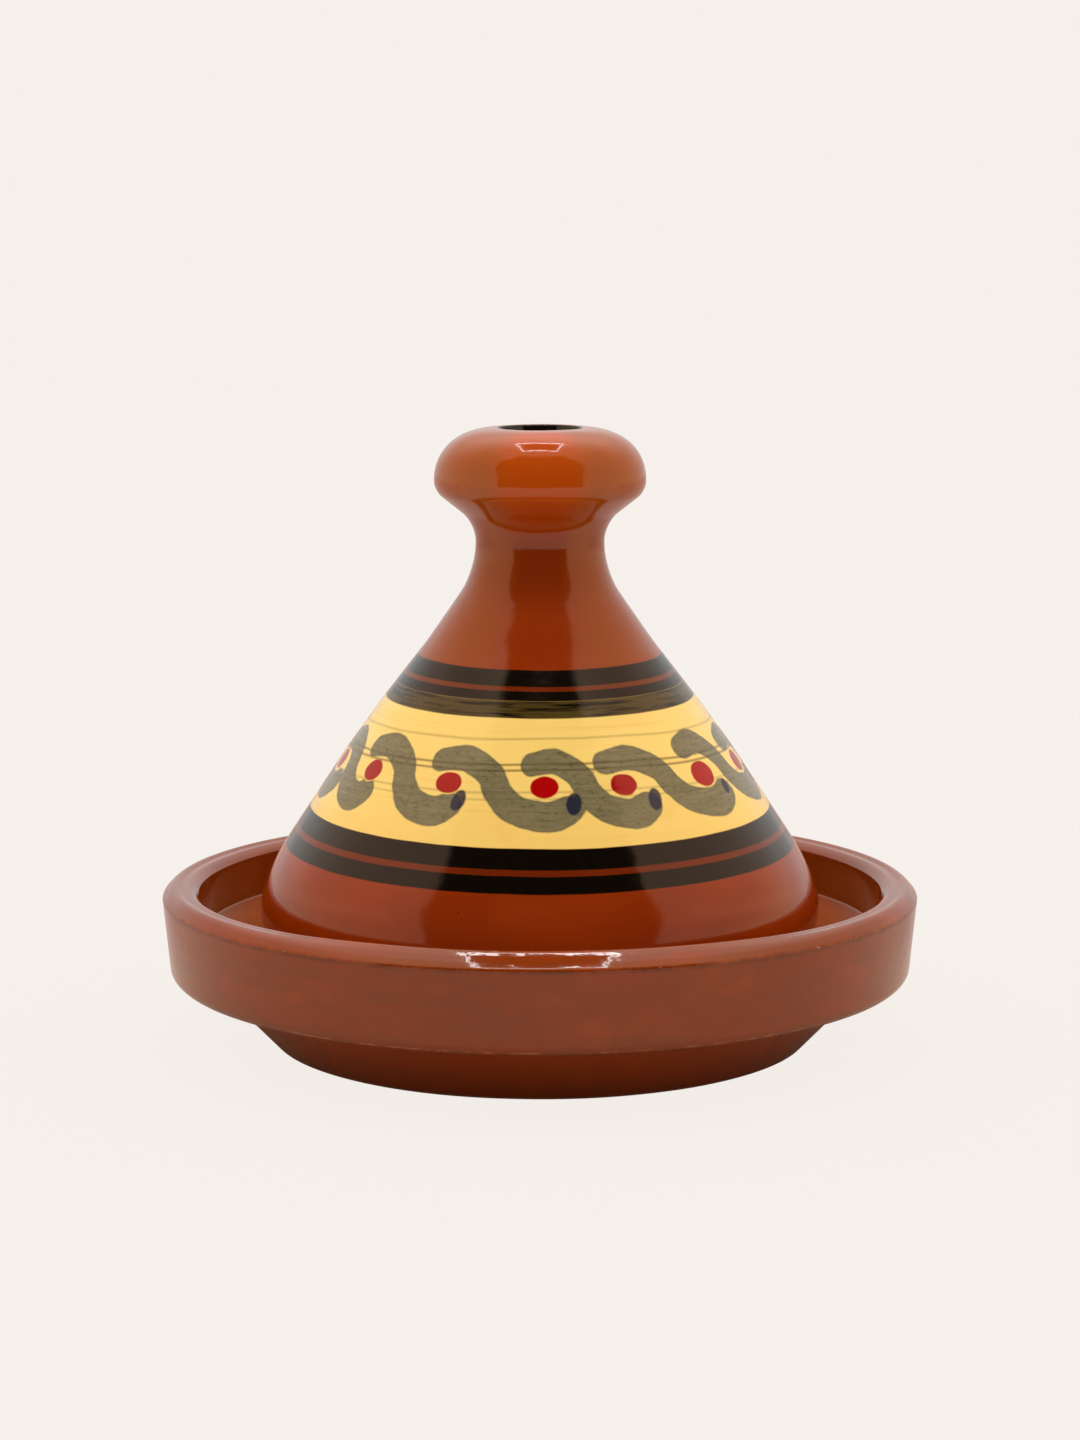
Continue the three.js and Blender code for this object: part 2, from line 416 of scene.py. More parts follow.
def turn(piece):
    """Turns the outline into a closed skin, welds its seam and poles and turns its faces outwards."""
    bpy.ops.object.mode_set(mode="OBJECT")
    lathe = piece.modifiers.new("lathe", "SCREW")
    lathe.axis = "Z"
    lathe.angle = math.tau
    lathe.steps = TURN_STEPS
    lathe.render_steps = TURN_STEPS
    lathe.use_merge_vertices = True
    lathe.merge_threshold = WELD
    bpy.ops.object.modifier_apply(modifier=lathe.name)
    bpy.ops.object.mode_set(mode="EDIT")
    bpy.ops.mesh.select_all(action="SELECT")
    bpy.ops.mesh.remove_doubles(threshold=WELD)
    bpy.ops.mesh.normals_make_consistent(inside=False)
    bpy.ops.object.mode_set(mode="OBJECT")
    bpy.ops.object.shade_smooth()
    print(f"{piece.name}: {len(piece.data.polygons)} faces")


def dent(piece, cloud, depth, group=""):
    """Presses cloudy dents of this size and depth into the skin, as hands and tools leave them."""
    texture = bpy.data.textures.new(f"{piece.name} dents", "CLOUDS")
    texture.noise_scale = cloud * MM
    texture.noise_depth = 1
    modifier = piece.modifiers.new("dents", "DISPLACE")
    modifier.texture = texture
    modifier.texture_coords = "LOCAL"
    modifier.mid_level = 0.5
    modifier.strength = depth * MM
    modifier.vertex_group = group
    bpy.context.view_layer.objects.active = piece
    bpy.ops.object.modifier_apply(modifier=modifier.name)


def skin_points(piece):
    """All vertices in millimetres, as one array."""
    points = np.empty(len(piece.data.vertices) * 3, np.float32)
    piece.data.vertices.foreach_get("co", points)
    return points.reshape(-1, 3).astype(float) / MM


def move_skin(piece, points):
    piece.data.vertices.foreach_set("co", (points * MM).astype(np.float32).ravel())
    piece.data.update()


def note(piece, name, values):
    """Keeps one number for each vertex on the piece, for its material to read."""
    attribute = piece.data.attributes.new(name, "FLOAT", "POINT")
    attribute.data.foreach_set("value", values.astype(np.float32))


print("skin helpers ready")

# %% [markdown]
# ## The dish
# From the table up: a flat base, a foot that flares out, a narrow overhang, the heavy outer wall, a rim that
# rises to a crest, a moat that catches what runs down the lid, the ledge that the lid stands on, and the
# bowl. A thrown rim is never quite true: in front a thumb left a slope and it stands a little high, and round
# the back it is a full roll. The skin also gets shallow dents, and its arrises small chips. All of that could
# be sculpted, but a formula keeps the skin smooth and is easy to change.

# %% Dish outline
SEAT_GAP = 0.3
BASE_THICKNESS = 10
BOWL_WALL_RUN = 10
LEDGE_INNER = 83.8
LEDGE_PLAY = 3.5
MOAT_WIDTH = 23
MOAT_RISE = 2.5
MOAT_WALL_LEAN = 1
RIM_WIDTH = 13.5
RIM_INNER_FALL = 2.8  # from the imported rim's top down to the rim's inner edge
RIM_CREST = (4.4, 1.2)  # out from that edge to the crest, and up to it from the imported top
RIM_SHOULDER = (4.1, 1.08)  # in from the outer wall to the bend of the shoulder, and down to it
RIM_ARRIS = (0.6, 4.0)  # and the arris where the shoulder meets the wall
OUTER_WALL_LEAN = 3.4
OVERHANG_WIDTH = 16
OVERHANG_RISE = 2.2
FOOT_HEIGHT = 22
FOOT_FLARE = 20.9
FOOT_ROUND = 3  # roundings, as radii
OVERHANG_ROUND = 6
LOWER_EDGE_ROUND = 4.2
ARRIS_ROUND = 1.2
SHOULDER_ROUND = 30
CREST_ROUND = 2.8
RIM_INNER_ROUND = 0.4
MOAT_ROUND = 0.7
LEDGE_OUTER_ROUND = 14
LEDGE_INNER_ROUND = 4
BOWL_ROUND = 22
RIM_STEP = 1.2  # the longest stretch of the outline on the rim
WALL_STEP = 2.5  # on the walls and the moat
BROAD_STEP = 8  # and elsewhere
RIM_FINE_ABOVE = 48
WALL_FINE_BEYOND = 92
FINE_MARGIN = 2

seat = lid_low.z - SEAT_GAP
rim_top = dish_high.z
rim_inner = lid_high.x + MOAT_WIDTH
rim_outer = rim_inner + RIM_WIDTH
outer_edge = rim_outer - OUTER_WALL_LEAN
overhang_inner = outer_edge - OVERHANG_WIDTH
arris = (rim_outer - RIM_ARRIS[0], rim_top - RIM_ARRIS[1])
crest = (rim_inner + RIM_CREST[0], rim_top + RIM_CREST[1])
lower_edge = (outer_edge, FOOT_HEIGHT + OVERHANG_RISE)

dish = draw_outline("dish_glazed", [
    (0, 0, 0),
    (overhang_inner - FOOT_FLARE, 0, FOOT_ROUND),
    (overhang_inner, FOOT_HEIGHT, OVERHANG_ROUND),
    (*lower_edge, LOWER_EDGE_ROUND),
    (*arris, ARRIS_ROUND),
    (rim_outer - RIM_SHOULDER[0], rim_top - RIM_SHOULDER[1], SHOULDER_ROUND),
    (*crest, CREST_ROUND),
    (rim_inner, rim_top - RIM_INNER_FALL, RIM_INNER_ROUND),
    (rim_inner - MOAT_WALL_LEAN, seat + MOAT_RISE, MOAT_ROUND),
    (lid_high.x + LEDGE_PLAY, seat, LEDGE_OUTER_ROUND),
    (LEDGE_INNER, seat, LEDGE_INNER_ROUND),
    (LEDGE_INNER - BOWL_WALL_RUN, BASE_THICKNESS, BOWL_ROUND),
    (0, BASE_THICKNESS, 0),
])


def on_the_rim(middle):
    return middle.x > rim_inner - FINE_MARGIN and middle.z > RIM_FINE_ABOVE


refine(dish, RIM_STEP, on_the_rim)
refine(dish, WALL_STEP, lambda middle: middle.x > WALL_FINE_BEYOND)
refine(dish, BROAD_STEP)
turn(dish)

# %% Dish arrises
ARRIS_REACH = 1.8  # how far wear, and on the wall's lower edge a painted highlight, runs from an arris
LOWER_EDGE_FACE = (-1.3, 1.2)  # from the corner of the wall's lower edge to the middle of its rounding
DARK_LINE_BELOW = 0.9  # a painted dark reflection line runs this far below the rim's arris
dish_points = skin_points(dish)
dish_radius = np.hypot(dish_points[:, 0], dish_points[:, 1])
dish_height = dish_points[:, 2].copy()


def near(place, reach):
    """1 at a place of the outline, falling to 0 at this reach."""
    return np.clip(1 - np.hypot(dish_radius - place[0], dish_height - place[1]) / reach, 0, 1)


lower_face = (lower_edge[0] + LOWER_EDGE_FACE[0], lower_edge[1] + LOWER_EDGE_FACE[1])
# wear along the rim's arris, and along the wall's lower edge partly wear and partly a painted highlight
edge_wear_and_sheen = np.maximum(near(arris, ARRIS_REACH), near(lower_face, ARRIS_REACH))
wear = dish.vertex_groups.new(name="arrises")
for index in np.flatnonzero(edge_wear_and_sheen > 0):
    wear.add([int(index)], float(edge_wear_and_sheen[index]), "REPLACE")
note(dish, "edge_wear_and_sheen", edge_wear_and_sheen)
note(dish, "painted_dark_line", near((arris[0], arris[1] - DARK_LINE_BELOW), 2 * DARK_LINE_BELOW))
print(f"dish: {int((edge_wear_and_sheen > 0).sum())} vertices along the arrises")

# %% Dish surface by hand
ROUNDED_FROM = math.radians(22)  # the thumb left a slope in front
ROUNDED_TO = math.radians(60)  # and from here round the back the rim is a full roll
ROLL_FILL = 1.0  # how far the roll fills the shoulder outside the crest
ROLL_FILL_FROM = 1.5  # out from the crest
ROLL_FALL = 1.4  # how far the crest itself is rolled down
ROLL_FALL_FROM = -3.5  # from inside the crest
ROLL_FALL_TO = 5  # to outside it
RIM_TILT = 0.5  # how far the rim stands up in front and sinks behind
RIM_TILT_FROM = 106  # inside this radius nothing tilts
RIM_TILT_RUN = 14  # how far from there the tilt takes to grow, outwards
RIM_TILT_CLIMB = 30  # and upwards, from the foot
BROAD_DENTS = (55, 0.25)  # size and depth
CHIPS_AND_DENTS = (3.0, 0.12)


def hump(value, low, high):
    """1 half way between low and high, falling smoothly to 0 at both."""
    return np.sin(math.pi * np.clip((value - low) / (high - low), 0, 1))


aside = np.abs(np.arctan2(dish_points[:, 0], -dish_points[:, 1]))
rolled = np.clip((aside - ROUNDED_FROM) / (ROUNDED_TO - ROUNDED_FROM), 0, 1)
rolled = rolled**2 * (3 - 2 * rolled) * (dish_height > arris[1])
fill = ROLL_FILL * hump(dish_radius, crest[0] + ROLL_FILL_FROM, arris[0])
fall = ROLL_FALL * hump(dish_radius, crest[0] + ROLL_FALL_FROM, crest[0] + ROLL_FALL_TO) ** 2
dish_points[:, 2] += rolled * (fill - fall)

outwards = np.clip((dish_radius - RIM_TILT_FROM) / RIM_TILT_RUN, 0, 1)
upwards = np.clip((dish_height - FOOT_HEIGHT) / RIM_TILT_CLIMB, 0, 1)
dish_points[:, 2] -= RIM_TILT * outwards * upwards * dish_points[:, 1] / rim_outer
move_skin(dish, dish_points)
dent(dish, *BROAD_DENTS)
dent(dish, *CHIPS_AND_DENTS, "arrises")
print(f"dish: the rim's roll is {fill.max():.1f} mm fuller and {fall.max():.1f} mm lower than the slope")

# %% [markdown]
# ## The lid
# One thrown piece: a foot ring, a rounded skirt, a cone that swells a little, a short neck and a flattened
# knob with a well in its top. The hollow inside follows the cone. The potter's rib left a few hair lines in
# the clay across the painted band. They could be bump alone, but here the outline holds them as very shallow
# grooves, which then wander up and down, so that glaze and light both find them.

# %% Lid outline
LID_FOOT_RADIUS = 95.2
LID_FOOT_WIDTH = 8.5
CONE_FOOT_RADIUS = 106.15
CONE_FOOT_HEIGHT = 14  # where the cone's line ends; heights here run up from the lid's foot
CONE_HEIGHT = 118
CONE_SWELL = ((38, 0), (70, 1.4), (87, 0.9), (107, -0.4), (121, 0))  # height, and how far out of its line
SKIRT_HEIGHT = 38
SKIRT_BEND = 9.5  # where the foot's line and the cone's side would meet
NECK_RADIUS = 22.9
NECK_HEIGHT = 16.8
KNOB_FLARE_HEIGHT = 11.5
KNOB_RADIUS = 37.66
KNOB_CHEEK_HEIGHT = 3.5
CROWN_FULLNESS = 0.9  # below 1 the dome is squarer than an ellipse
WELL_RADIUS = 14.8
WELL_FOOT_RADIUS = 12
WELL_DEPTH = 38
WELL_LIP = 0.7
CLAY_UNDER_WELL = 18
LID_WALL = 7
SKIRT_STEPS = 12
CROWN_STEPS = 20
# height above the table, and depth
GROOVES = ((97.7, 0.02), (99.8, 0.025), (106.6, 0.06), (108.4, 0.06), (116.3, 0.025))
GROOVE_WIDTH = 1.1
GROOVE_SHAPE = ((-0.5, 0), (-0.15, 1), (0.15, 1), (0.5, 0))  # share of its width, share of its depth
HOLLOW_ROUND = 12  # roundings, as radii
LID_FOOT_INNER_ROUND = 2
LID_FOOT_OUTER_ROUND = 3
CONE_ROUND = 90
NECK_BASE_ROUND = 30
NECK_TOP_ROUND = 12.5
KNOB_EDGE_ROUND = 7
WELL_MOUTH_ROUND = 1.2
WELL_FLOOR_ROUND = 9

foot = lid_low.z
neck_base = foot + CONE_FOOT_HEIGHT + CONE_HEIGHT
neck_top = neck_base + NECK_HEIGHT
knob_edge = neck_top + KNOB_FLARE_HEIGHT
crown_base = knob_edge + KNOB_CHEEK_HEIGHT
lid_top = lid_high.z
well_floor = lid_top - WELL_DEPTH
hollow_top = well_floor - CLAY_UNDER_WELL
cone_slope = (CONE_FOOT_RADIUS - NECK_RADIUS) / CONE_HEIGHT
wall_across = LID_WALL * math.hypot(1, cone_slope)


def cone_line(height):
    return CONE_FOOT_RADIUS - cone_slope * (height - foot - CONE_FOOT_HEIGHT)


def cone_radius(height):
    """The cone's outside: its line, and a swell that is greatest at mid height."""
    heights, swells = zip(*CONE_SWELL)
    return cone_line(height) + np.interp(height - foot, heights, swells)


def skirt(foot_radius, inset):
    """The turn from the foot into the cone: it leaves the foot towards the cone's own side."""
    (low, _), (high, swell) = CONE_SWELL[:2]
    drawn_in = swell / (high - low) * (SKIRT_HEIGHT - SKIRT_BEND)
    ends = (
        (foot_radius, foot),
        (cone_line(foot + SKIRT_BEND) - drawn_in - inset, foot + SKIRT_BEND),
        (cone_line(foot + SKIRT_HEIGHT) - inset, foot + SKIRT_HEIGHT),
    )
    points = []
    for share in np.linspace(0, 1, SKIRT_STEPS + 1):
        weights = ((1 - share) ** 2, 2 * share * (1 - share), share**2)
        radius, height = (sum(w * end[axis] for w, end in zip(weights, ends)) for axis in (0, 1))
        points.append((radius, height, 0))
    return points


def groove(height, depth):
    """Four corners that dip below the cone's side, from the lower lip to the upper one."""
    for across, share in GROOVE_SHAPE:
        level = height + across * GROOVE_WIDTH
        yield (float(cone_radius(level)) - share * depth, level, 0)


def crown():
    """A quarter of a full ellipse, from the knob's cheek up to the lip of its well."""
    centre = WELL_RADIUS + WELL_LIP
    for angle in np.linspace(0, math.pi / 2, CROWN_STEPS + 1):
        out = abs(math.cos(angle)) ** CROWN_FULLNESS
        up = math.sin(angle) ** CROWN_FULLNESS
        yield (centre + (KNOB_RADIUS - centre) * out, crown_base + (lid_top - crown_base) * up, 0)


inside_of_skirt = skirt(LID_FOOT_RADIUS - LID_FOOT_WIDTH, wall_across)[::-1]
outside_of_skirt = skirt(LID_FOOT_RADIUS, 0)
lid = draw_outline("lid_painted", [
    (0, hollow_top, 0),
    (cone_line(hollow_top) - wall_across, hollow_top, HOLLOW_ROUND),
    *inside_of_skirt[:-1],
    (*inside_of_skirt[-1][:2], LID_FOOT_INNER_ROUND),
    (*outside_of_skirt[0][:2], LID_FOOT_OUTER_ROUND),
    *outside_of_skirt[1:],
    *(corner for line in GROOVES for corner in groove(*line)),
    *((float(cone_radius(foot + height)), foot + height, CONE_ROUND) for height, _ in CONE_SWELL[2:4]),
    (NECK_RADIUS, neck_base, NECK_BASE_ROUND),
    (NECK_RADIUS, neck_top, NECK_TOP_ROUND),
    (KNOB_RADIUS, knob_edge, KNOB_EDGE_ROUND),
    *crown(),
    (WELL_RADIUS, lid_top, WELL_MOUTH_ROUND),
    (WELL_FOOT_RADIUS, well_floor, WELL_FLOOR_ROUND),
    (0, well_floor, 0),
])
print(f"lid outline: neck at {neck_base:.1f} to {neck_top:.1f} mm, knob's edge at {knob_edge:.1f}")

# %% Lid skin
PAINT_LOW = 80  # above the table, as are all heights from here on
PAINT_HIGH = 126
PAINT_STEP = 1.0  # the longest stretch of the outline under the brushwork
OUTSIDE_STEP = 3.0  # on the rest of the outside
HOLLOW_STEP = 8  # and in the hollow
SKIN = 2  # what lies deeper than this under the cone's side is the hollow


def in_painted_band(middle):
    return PAINT_LOW < middle.z < PAINT_HIGH and middle.x > cone_radius(middle.z) - SKIN


refine(lid, PAINT_STEP, in_painted_band)
refine(lid, OUTSIDE_STEP, lambda middle: middle.x > cone_radius(min(middle.z, neck_base)) - SKIN)
refine(lid, HOLLOW_STEP)
turn(lid)

# %% Wandering grooves
WANDER = ((2, 0.34, 1.0), (5, 0.20, 0.4), (11, 0.10, 2.2))  # waves round the lid, millimetres, phase
CALM_BELOW = 86  # nothing wanders below this height
CALM_BELOW_RUN = 10  # and this far above it the wandering is full
CALM_ABOVE = 123
CALM_ABOVE_RUN = 6
lid_points = skin_points(lid)
lid_radius = np.hypot(lid_points[:, 0], lid_points[:, 1])
lid_azimuth = np.arctan2(lid_points[:, 0], -lid_points[:, 1])
lid_height = lid_points[:, 2]
outside = lid_radius > cone_radius(lid_height) - SKIN
painted = outside & (lid_height > PAINT_LOW) & (lid_height < PAINT_HIGH)

pooled = np.zeros(len(lid_points))
deepest = max(depth for _, depth in GROOVES)
for height, depth in GROOVES:
    beside = np.clip(1 - np.abs(lid_height - height) / GROOVE_WIDTH * 2, 0, 1)
    pooled = np.maximum(pooled, beside * depth / deepest)
note(lid, "pooled", pooled * painted)
note(lid, "outside", outside)

calm = np.clip((lid_height - CALM_BELOW) / CALM_BELOW_RUN, 0, 1)
calm *= np.clip((CALM_ABOVE - lid_height) / CALM_ABOVE_RUN, 0, 1)
slide = sum(size * np.sin(waves * lid_azimuth + phase) for waves, size, phase in WANDER) * calm * painted
around = np.stack([np.sin(lid_azimuth), -np.cos(lid_azimuth)], axis=1)
lid_points[:, :2] -= around * (slide * cone_slope)[:, None]
lid_points[:, 2] += slide
print(f"grooves wander {slide.min():.2f} to {slide.max():.2f} mm")

# %% Lid surface by hand
MOUTH_RISE = 0.5  # the mouth of the well stands a little high
MOUTH_TILT = 0.013  # and leans to the front
LID_DENTS = ((60, 0.2), (18, 0.1))  # size and depth
KNOB_DENTS = (14, 0.14)
crowned = np.clip((lid_height - crown_base) / (lid_top - crown_base), 0, 1) ** 2
lid_points[:, 2] += crowned * (MOUTH_RISE + MOUTH_TILT * lid_points[:, 1])
move_skin(lid, lid_points)
for dents in LID_DENTS:
    dent(lid, *dents)
knob = lid.vertex_groups.new(name="knob")
knob.add([int(index) for index in np.flatnonzero(lid_height > neck_top)], 1.0, "REPLACE")
dent(lid, *KNOB_DENTS, "knob")
print(f"lid: {int((lid_height > neck_top).sum())} vertices on the knob")

# %% [markdown]
# ## The running scroll
# Thirteen brush strokes run round the cream band. Each starts as a round blob over one red dot, falls between
# two dots and curls up under the next, where a navy dab closes it. A picture could be wrapped round the lid,
# but it would blur close by. So the strokes are drawn here as centre lines with a width, on the band laid
# flat, and every vertex keeps its distance to the nearest stroke, dot and dab. The paint can then have soft,
# streaky edges at any size.

# %% Stroke layout
FLAT_RADIUS = 73  # the band is laid flat at this radius
FLAT_STRETCH = 1.22  # millimetres along the slope for each millimetre of height
DOT_HEIGHT = 101.8
FAR_FROM_PAINT = 20.0
BACK_DOTS = 6
# azimuth in degrees, height, size of the dot, lift of the stroke over it, the dab under it, and how far
# beside its usual place the stroke before ends there
FRONT_DOTS = (
    (-81.0, 102.4, 1.00, 1.00, 0.0, 0.0),
    (-55.0, 102.8, 1.00, 1.08, 0.0, -4.6),
    (-26.0, 102.2, 1.00, 1.00, 0.95, -4.4),
    (1.24, 101.8, 1.00, 1.00, 1.0, 0.0),
    (23.6, 101.8, 1.00, 1.02, 1.0, 0.6),
    (52.4, 102.0, 1.22, 1.30, 0.7, 0.0),
    (78.4, 102.2, 1.05, 1.10, 1.0, 0.0),
)
# centre line of a stroke: share of the way to the next dot, millimetres above this dot, half width
STROKE = (
    (-0.155, 8.4, 4.5),
    (0.14, 9.6, 4.9),
    (0.42, 4.6, 5.0),
    (0.54, -2.4, 5.0),
    (0.72, -8.6, 5.4),
    (1.03, -11.2, 5.8),
    (1.22, -8.4, 5.2),
)
STROKE_STEPS = 14
DOT_HALF_WIDTH = 5.0
DOT_HALF_HEIGHT = 4.15
DAB = (9.7, -6.4, 2.6, 4.3, 0.12)  # place beside the dot that it closes, half sizes, and lean
# how far the same six numbers of a dot stray round the back: the first two from an even spacing and height
BACK_RANGES = ((-1.5, 1.5), (-0.5, 0.8), (0.95, 1.12), (0.98, 1.15), (0.7, 1.0), (-2.0, 1.0))

random.seed(7)
dots = list(FRONT_DOTS)
back_step = (360 + FRONT_DOTS[0][0] - FRONT_DOTS[-1][0]) / (BACK_DOTS + 1)
for number in range(1, BACK_DOTS + 1):
    turned, lifted, *others = (random.uniform(*limits) for limits in BACK_RANGES)
    azimuth = FRONT_DOTS[-1][0] + number * back_step + turned
    dots.append((azimuth, DOT_HEIGHT + lifted, *others))
print(f"{len(dots)} dots and strokes")

# %% Distances to the paint
def smooth_line(points):
    """A curve through the points, as one row of numbers for each step."""
    padded = np.array([points[0], *points, points[-1]], float)
    rows = []
    for p0, p1, p2, p3 in zip(padded, padded[1:], padded[2:], padded[3:]):
        for share in np.linspace(0, 1, STROKE_STEPS, endpoint=False):
            rows.append(0.5 * (2 * p1 + (p2 - p0) * share + (2 * p0 - 5 * p1 + 4 * p2 - p3) * share**2
                               + (3 * p1 - p0 - 3 * p2 + p3) * share**3))
    return np.array([*rows, padded[-1]])


def round_the_lid(angle):
    """The same angle, between half a turn back and half a turn on."""
    return (angle + math.pi) % math.tau - math.pi


def ellipse_distance(across, up, half_width, half_height):
    """About how far a point is outside an ellipse. It is negative inside."""
    share = np.hypot(across / half_width, up / half_height)
    steep = np.hypot(across / half_width**2, up / half_height**2)
    return (share - 1) * share / np.maximum(steep, 1e-6)


band = np.flatnonzero(painted)
band_azimuth = lid_azimuth[band]
band_height = lid_points[band, 2]
stroke_distance = np.full(len(band), FAR_FROM_PAINT)
dot_distance = np.full(len(band), FAR_FROM_PAINT)
dab_distance = np.full(len(band), FAR_FROM_PAINT)
for (azimuth, height, size, lift, *_), following in zip(dots, dots[1:] + dots[:1]):
    start = math.radians(azimuth)
    gap = round_the_lid(math.radians(following[0]) - start) * FLAT_RADIUS
    across = round_the_lid(band_azimuth - start) * FLAT_RADIUS
    up = (band_height - height) * FLAT_STRETCH
    drop = (following[1] - height) * FLAT_STRETCH
    dab_size, beside = following[4:]
    line = []
    for share, rise, half in STROKE:
        on = max(share, 0)
        line.append((share * gap + beside * on**2, rise * (lift if rise > 0 else 1) + drop * on, half))
    for reach, rise, half in smooth_line(line):
        stroke_distance = np.minimum(stroke_distance, np.hypot(across - reach, up - rise) - half)
    dot = ellipse_distance(across, up, DOT_HALF_WIDTH * size, DOT_HALF_HEIGHT * size)
    dot_distance = np.minimum(dot_distance, dot)
    if dab_size:
        dab_across, dab_up, dab_half, dab_tall, dab_lean = DAB
        dab_rise = up - drop - dab_up
        dab_out = across - gap - beside - dab_across - dab_lean * dab_rise
        dab = ellipse_distance(dab_out, dab_rise, dab_half * dab_size, dab_tall * dab_size)
        dab_distance = np.minimum(dab_distance, dab)

for name, distance in (("stroke", stroke_distance), ("dot", dot_distance), ("dab", dab_distance)):
    everywhere = np.full(len(lid_points), FAR_FROM_PAINT)
    everywhere[band] = distance
    note(lid, name, everywhere)
print(f"{len(band)} vertices in the painted band, {(stroke_distance < 0).mean():.0%} of them under a stroke")

# %% [markdown]
# ## Glazed clay
# Both pieces are the same red clay under the same clear amber glaze. The glaze is glass, so it reflects like
# any glass and the colour comes from the clay below it. What makes it look fired and not moulded is small:
# cloudy colour where the coat is thicker, faint rings from throwing, pinholes, and a skin that isn't quite
# level. A photograph of clay could give that, but layers of noise need no seam and can follow the wheel.

# %% Clay recipe
CLAY = colour(0.300, 0.0310, 0.0009)
CLAY_DARK = colour(0.250, 0.0240, 0.0006)
CLAY_LIGHT = colour(0.340, 0.0400, 0.0015)
# the next colour darkens pinholes, and also paints the dark reflection line under the dish's rim
CLAY_PINHOLE_AND_DARK_LINE = colour(0.090, 0.0090, 0.0004)
# pale thin glaze on worn arrises; the same colour is the painted sheen on the lid's skirt and part of a painted
# highlight on the dish's lower edge
CLAY_THIN_AND_SHEEN = colour(0.480, 0.1300, 0.0550)
GLAZE_IOR = 1.5
# noises here and below: stretch, detail, roughness and, where two more numbers follow, low and high
CLAY_CLOUDS = ((22, 22, 30), 3, 0.5, 0.35, 0.68)
THROWING_RINGS = ((6, 6, 420), 3, 0.6, 0.50, 0.80)
RING_SHARE = 0.2
GRAIN = ((900, 900, 900), 2, 0.5, 0.55, 0.80)
GRAIN_SHARE = 0.25
PINHOLES = 130  # how many would fit along a metre
PINHOLE_EDGE = (0.03, 0.06)
SKIN_RINGS = ((5, 5, 300), 2, 0.5)
SKIN_RINGS_SHARE = 0.3
ORANGE_PEEL = ((160, 160, 160), 2, 0.5)
ORANGE_PEEL_SHARE = 0.7
BUMP_STRENGTH = 0.35


def start_recipe(name):
    material = bpy.data.materials.new(name)
    material.use_nodes = True
    shader = material.node_tree.nodes["Principled BSDF"]
    shader.inputs["IOR"].default_value = GLAZE_IOR
    bench = Bench(material.node_tree)
    return material, bench, shader, bench.node("ShaderNodeTexCoord").outputs["Object"]


def clay_colour(bench, place):
    """Red clay seen through glaze: broad clouds, thin rings from throwing, fine grain and pinholes."""
    tone = bench.mix(bench.clouds(place, *CLAY_CLOUDS), CLAY_DARK, CLAY)
    tone = bench.mix(bench.times(bench.clouds(place, *THROWING_RINGS), RING_SHARE), tone, CLAY_LIGHT)
    tone = bench.mix(bench.times(bench.clouds(place, *GRAIN), GRAIN_SHARE), tone, CLAY_DARK)
    inputs = {"Vector": place, "Scale": PINHOLES}
    away = bench.node("ShaderNodeTexVoronoi", inputs).outputs["Distance"]
    return bench.mix(bench.inverse(bench.step(away, *PINHOLE_EDGE)), tone, CLAY_PINHOLE_AND_DARK_LINE)


def glaze_skin(bench, place, shader, depth):
    """The level of the glaze: throwing rings and a slow orange peel, as bump."""
    rings = bench.times(bench.noise(place, *SKIN_RINGS), SKIN_RINGS_SHARE)
    peel = bench.times(bench.noise(place, *ORANGE_PEEL), ORANGE_PEEL_SHARE)
    level = bench.math("ADD", rings, peel)
    inputs = {"Height": level, "Strength": BUMP_STRENGTH, "Distance": depth * MM}
    bench.feed(shader.inputs["Normal"], bench.node("ShaderNodeBump", inputs).outputs[0])


print("clay and glaze ready")

# %% Dish glaze
DISH_BROWN = colour(0.195, 0.0300, 0.0012)
MOAT_AMBER = colour(0.420, 0.0900, 0.0060)
RAW_CLAY = colour(0.36, 0.13, 0.06)
DISH_BRUSH = ((26, 26, 120), 5, 0.65, 0.36, 0.62)
BROWN_SHARE = (0.5, 0.95)  # how brown the dish is between the brush's marks, and in them
BLOTCHES = ((55, 55, 75), 4, 0.6, 0.52, 0.72)
BLOTCH_SHARE = 0.3
FOOT_WALL_ENDS = (18, 24)  # places are heights, or distances from the axis, in millimetres
FOOT_WALL_SHARE = 0.35
MOAT_BEGINS = (86, 92)
MOAT_ENDS = (121.6, 123.0)
MOAT_ABOVE = (34, 35.5)
MOAT_SHARE = 0.35
DARK_LINE_EDGE = (0.35, 0.80)  # the painted dark reflection line below the rim's arris
DARK_LINE_PATCHES = ((90, 90, 90), 3, 0.6, 0.35, 0.60)
DARK_LINE_SHARE = (0.15, 0.6)
WEAR_AND_SHEEN_EDGE = (0.45, 0.90)  # thin glaze along the arrises, in dashes, which along the wall's lower edge is also a painted highlight
DASHES = ((170, 170, 170), 3, 0.6, 0.45, 0.62)
WALL_CLIMBS = (30, 40)
WEAR_AND_SHEEN_SHARE = (1.0, 0.15)  # most along the wall's lower edge, where it is partly chips and partly a painted highlight
CHIPS = ((420, 420, 420), 3, 0.7)
CHIP_EDGE = (0.55, 0.61)
BARE_BASE = (0.4, 1.6)
BARE_ROUGHNESS = 0.8
DISH_HAZE = ((40, 40, 120), 3, 0.5)
DISH_ROUGHNESS = (0.03, 0.09)
DISH_BUMP = 0.35


